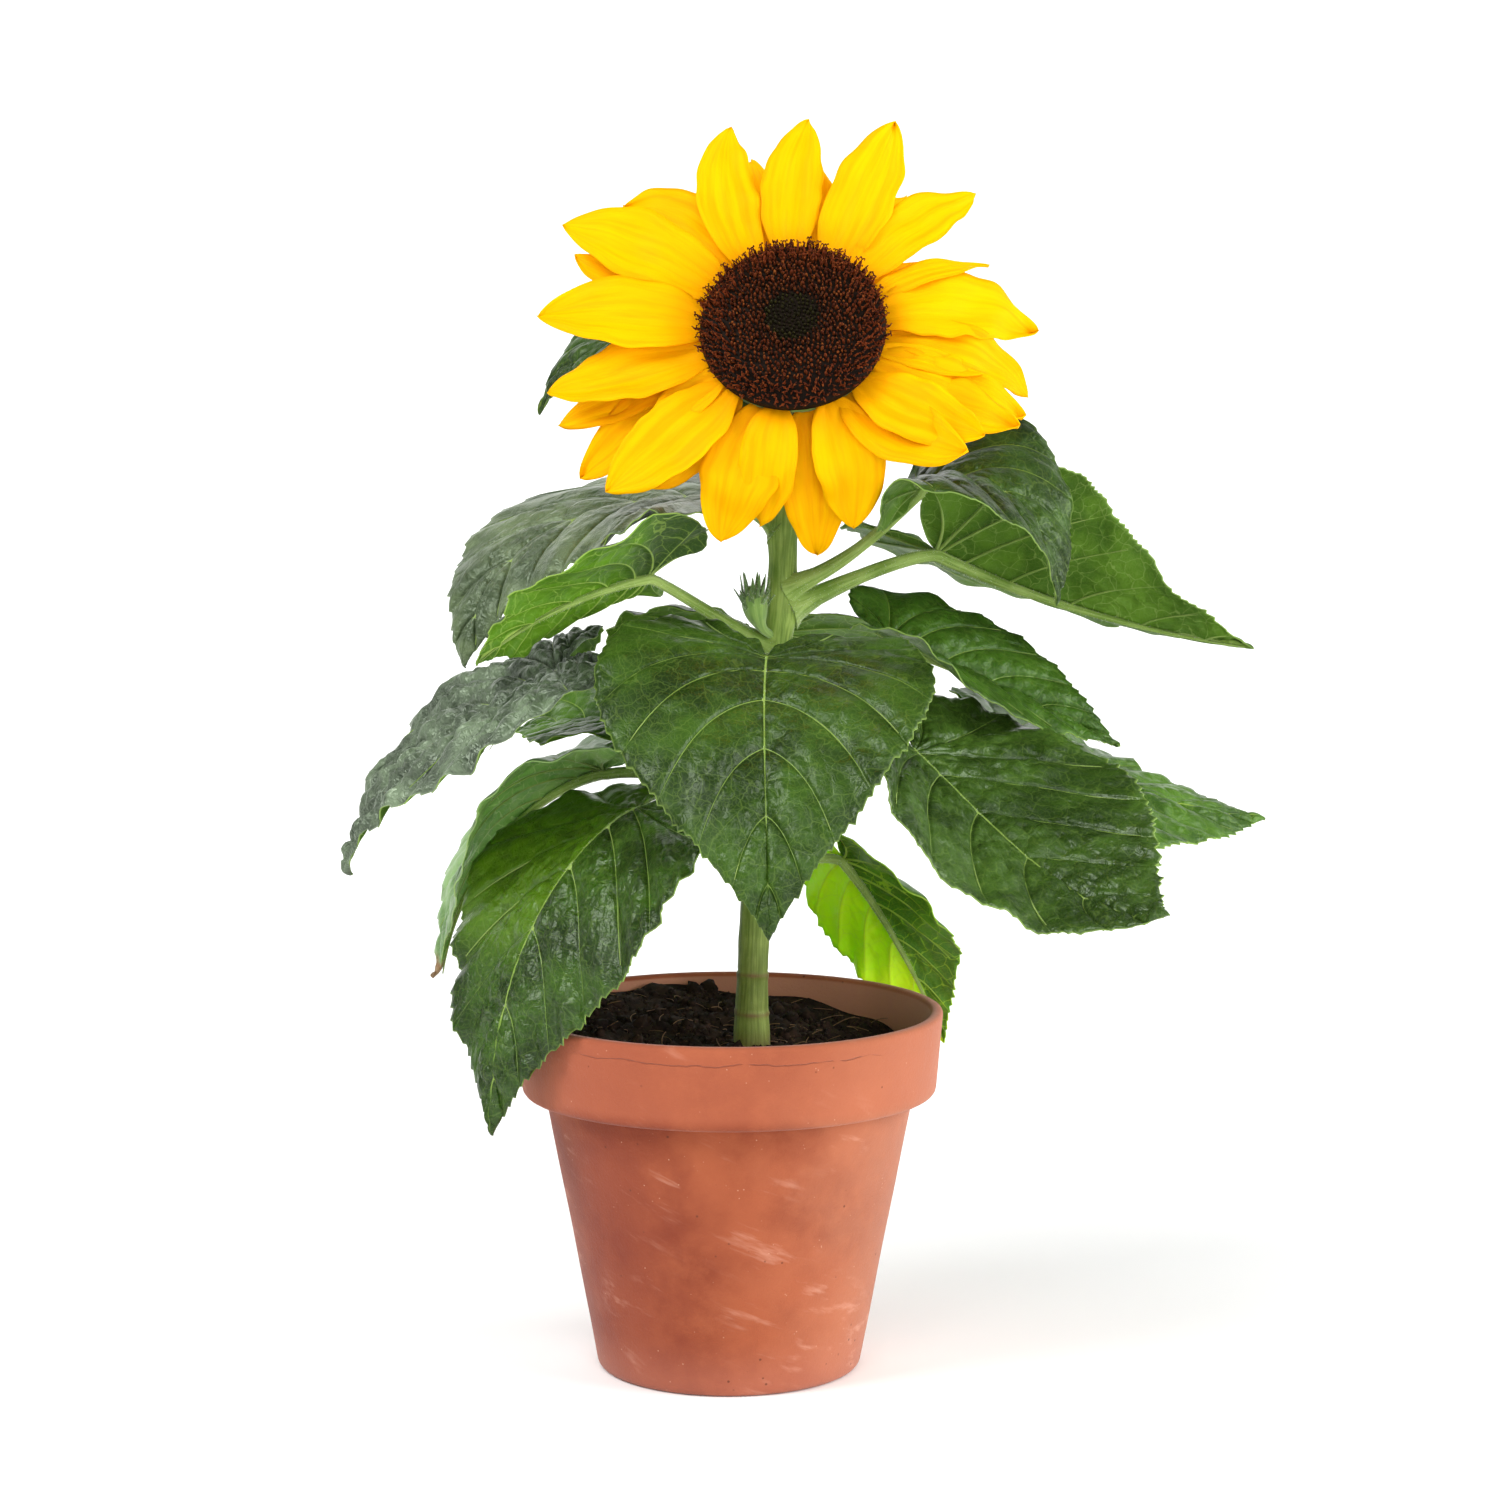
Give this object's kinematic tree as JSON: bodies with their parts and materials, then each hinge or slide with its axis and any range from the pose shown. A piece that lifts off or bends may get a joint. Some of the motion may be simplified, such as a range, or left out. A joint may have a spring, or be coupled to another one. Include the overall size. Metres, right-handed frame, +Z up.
{
  "type": "potted sunflower plant",
  "caption": "Young sunflower in a clay pot: an upright stem with stalked heart-shaped leaves, a side bud and one open flower head facing forward.",
  "frame": {"origin": "centre of the flat underside of the pot", "axes": "+Z up along the pot's axis, -Y towards the front, where the flower looks, +X to the right in a front view"},
  "size_m": [0.3758, 0.2902, 0.4921],
  "materials": {
    "fired_clay": "unglazed, dusty and faintly streaked with white salts",
    "potting_soil": "damp crumbly compost",
    "stem_green": "pale green, finely hairy",
    "stalk_green": "pale green, finely hairy",
    "leaf_green": "dark green with pale veins above, paler below",
    "petal_yellow": "soft satin yellow",
    "floret_brown": "matt dark brown",
    "bract_green": "matt green, finely hairy"
  },
  "bodies": {
    "root": {"pot": "fired_clay", "soil": "potting_soil", "stem": "stem_green", "side_bud": "bract_green", "stalk_front": "stalk_green", "leaf_front": "leaf_green", "stalk_low_left": "stalk_green", "leaf_low_left": "leaf_green", "stalk_low_left_back": "stalk_green", "leaf_low_left_back": "leaf_green", "stalk_left": "stalk_green", "leaf_left": "leaf_green", "stalk_upper_left": "stalk_green", "leaf_upper_left": "leaf_green", "stalk_left_stalked": "stalk_green", "leaf_left_stalked": "leaf_green", "stalk_right_big": "stalk_green", "leaf_right_big": "leaf_green", "stalk_upper_right": "stalk_green", "leaf_upper_right": "leaf_green", "stalk_right_folded": "stalk_green", "leaf_right_folded": "leaf_green", "stalk_low_right": "stalk_green", "leaf_low_right": "leaf_green", "stalk_right_back": "stalk_green", "leaf_right_back": "leaf_green", "stalk_back_low": "stalk_green", "leaf_back_low": "leaf_green", "stalk_top_left_back": "stalk_green", "leaf_top_left_back": "leaf_green", "stalk_back_left": "stalk_green", "leaf_back_left": "leaf_green", "stalk_back": "stalk_green", "leaf_back": "leaf_green", "stalk_back_upper": "stalk_green", "leaf_back_upper": "leaf_green", "petal_ring": "petal_yellow", "seed_disc": "floret_brown", "calyx": "bract_green"}
  },
  "joints": []
}
